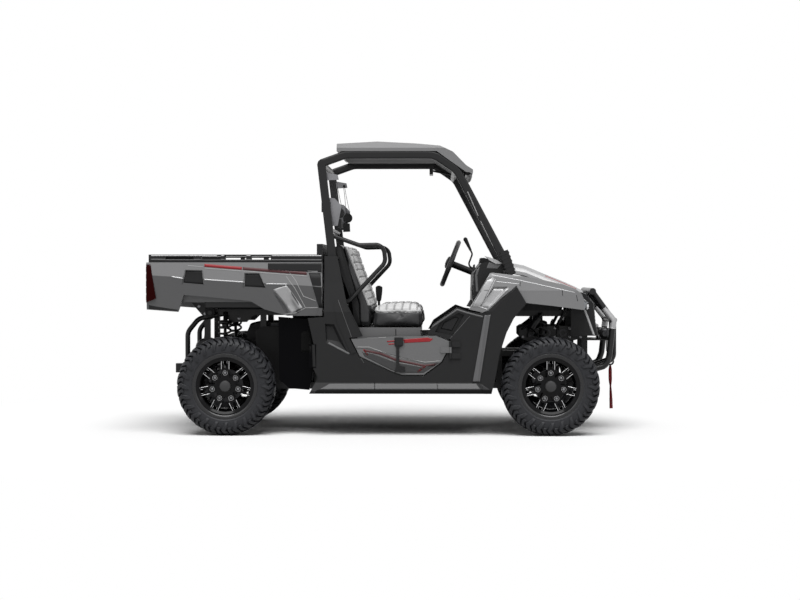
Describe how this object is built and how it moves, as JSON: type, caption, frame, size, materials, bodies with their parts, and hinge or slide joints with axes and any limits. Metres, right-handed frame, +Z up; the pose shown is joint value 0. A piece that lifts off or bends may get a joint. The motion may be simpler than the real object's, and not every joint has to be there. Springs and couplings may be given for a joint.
{
  "type": "side by side utility vehicle",
  "caption": "Off-road utility vehicle with a bench seat, half doors, roll cage with a roof, tilting cargo bed with a tailgate, front guard with a winch, and a rear hitch receiver.",
  "frame": {"origin": "on the ground, midway along the overall length, on the centre line", "axes": "+X forward, +Y to the vehicle's left, +Z up"},
  "size_m": [3.17, 1.626, 1.955],
  "materials": {
    "black_steel": "satin black powder coat",
    "cast_metal": "cast, dull",
    "spring_steel": "satin",
    "dark_plastic": "moulded, lightly grained",
    "black_plastic": "moulded, grained",
    "silver_paint": "metallic paint",
    "seat_cover": "woven vinyl",
    "webbing": "woven webbing",
    "strap": "woven webbing",
    "clear_lens": "clear moulded lens",
    "red_lens": "clear red lens",
    "tyre": "rubber",
    "wheel_paint": "gloss black with machined edges"
  },
  "bodies": {
    "chassis": {"frame": "black_steel", "powertrain": "cast_metal", "front_arms": "black_steel", "rear_arms": "black_steel", "shocks": "spring_steel", "half_shafts": "black_steel", "rear_uprights": "cast_metal", "side_panel_left": "dark_plastic", "side_panel_right": "dark_plastic", "fender_left": "silver_paint", "fender_right": "silver_paint", "floor_tub": "black_plastic", "dash": "black_plastic", "seat_base": "silver_paint", "seat_cushions": "seat_cover", "seat_backs": "seat_cover", "rops_rear": "black_steel", "rops_front": "black_steel", "roof": "silver_paint", "hip_bars": "black_steel", "seat_belts": "webbing", "fascia": "black_plastic", "headlights": "clear_lens", "hood_tub": "black_plastic", "front_guard": "black_steel", "winch": "black_steel", "winch_strap": "strap", "hitch": "black_steel", "rear_liners": "black_plastic"},
    "knuckle_left": {"knuckle_left": "cast_metal"},
    "front_wheel_left": {"tyre_front_left": "tyre", "rim_front_left": "wheel_paint"},
    "rear_wheel_left": {"tyre_rear_left": "tyre", "rim_rear_left": "wheel_paint"},
    "door_left": {"door_left": "silver_paint", "door_latch_left": "black_plastic"},
    "knuckle_right": {"knuckle_right": "cast_metal"},
    "front_wheel_right": {"tyre_front_right": "tyre", "rim_front_right": "wheel_paint"},
    "rear_wheel_right": {"tyre_rear_right": "tyre", "rim_rear_right": "wheel_paint"},
    "door_right": {"door_right": "silver_paint", "door_latch_right": "black_plastic"},
    "steering_wheel": {"steering_wheel": "black_plastic"},
    "hood": {"hood": "silver_paint"},
    "cargo_bed": {"bed_tub": "dark_plastic", "bed_side_left": "silver_paint", "bed_side_right": "silver_paint", "bed_rails": "dark_plastic", "tail_lights": "red_lens"},
    "tailgate": {"tailgate": "silver_paint"}
  },
  "joints": [
    {"name": "steer_right", "type": "hinge", "parent": "chassis", "child": "knuckle_right", "pos_m": [1.095, -0.6, 0.3275], "axis": [0, 0, 1], "range_deg": [-28, 28]},
    {"name": "front_wheel_spin_right", "type": "hinge", "parent": "knuckle_right", "child": "front_wheel_right", "pos_m": [1.095, -0.6985, 0.3275], "axis": [0, 1, 0], "continuous": true},
    {"name": "rear_wheel_spin_right", "type": "hinge", "parent": "chassis", "child": "rear_wheel_right", "pos_m": [-1.06, -0.6735, 0.3275], "axis": [0, 1, 0], "continuous": true},
    {"name": "door_hinge_right", "type": "hinge", "parent": "chassis", "child": "door_right", "pos_m": [0.43234, -0.77866, 0.56695], "axis": [0, 0, 1], "range_deg": [0, 75]},
    {"name": "steer_left", "type": "hinge", "parent": "chassis", "child": "knuckle_left", "pos_m": [1.095, 0.6, 0.3275], "axis": [0, 0, 1], "range_deg": [-28, 28]},
    {"name": "front_wheel_spin_left", "type": "hinge", "parent": "knuckle_left", "child": "front_wheel_left", "pos_m": [1.095, 0.6985, 0.3275], "axis": [0, 1, 0], "continuous": true},
    {"name": "rear_wheel_spin_left", "type": "hinge", "parent": "chassis", "child": "rear_wheel_left", "pos_m": [-1.06, 0.6735, 0.3275], "axis": [0, 1, 0], "continuous": true},
    {"name": "door_hinge_left", "type": "hinge", "parent": "chassis", "child": "door_left", "pos_m": [0.43234, 0.77866, 0.56695], "axis": [0, 0, -1], "range_deg": [0, 75]},
    {"name": "steering_wheel_turn", "type": "hinge", "parent": "chassis", "child": "steering_wheel", "pos_m": [0.43772, 0.37, 1.14759], "axis": [-0.9311, 0, 0.3649], "range_deg": [-252, 252]},
    {"name": "hood_hinge", "type": "hinge", "parent": "chassis", "child": "hood", "pos_m": [0.83547, 0, 1.13945], "axis": [0, -1, 0], "range_deg": [0, 60]},
    {"name": "bed_tilt", "type": "hinge", "parent": "chassis", "child": "cargo_bed", "pos_m": [-1.2044, 0, 0.80741], "axis": [0, -1, 0], "range_deg": [0, 40]},
    {"name": "tailgate_hinge", "type": "hinge", "parent": "cargo_bed", "child": "tailgate", "pos_m": [-1.565, 0, 0.88562], "axis": [0, -1, 0], "range_deg": [0, 90]}
  ],
  "couplings": [
    {"joint": "steer_left", "follows": "steer_right", "ratio": 1},
    {"joint": "steering_wheel_turn", "follows": "steer_right", "ratio": 9}
  ]
}
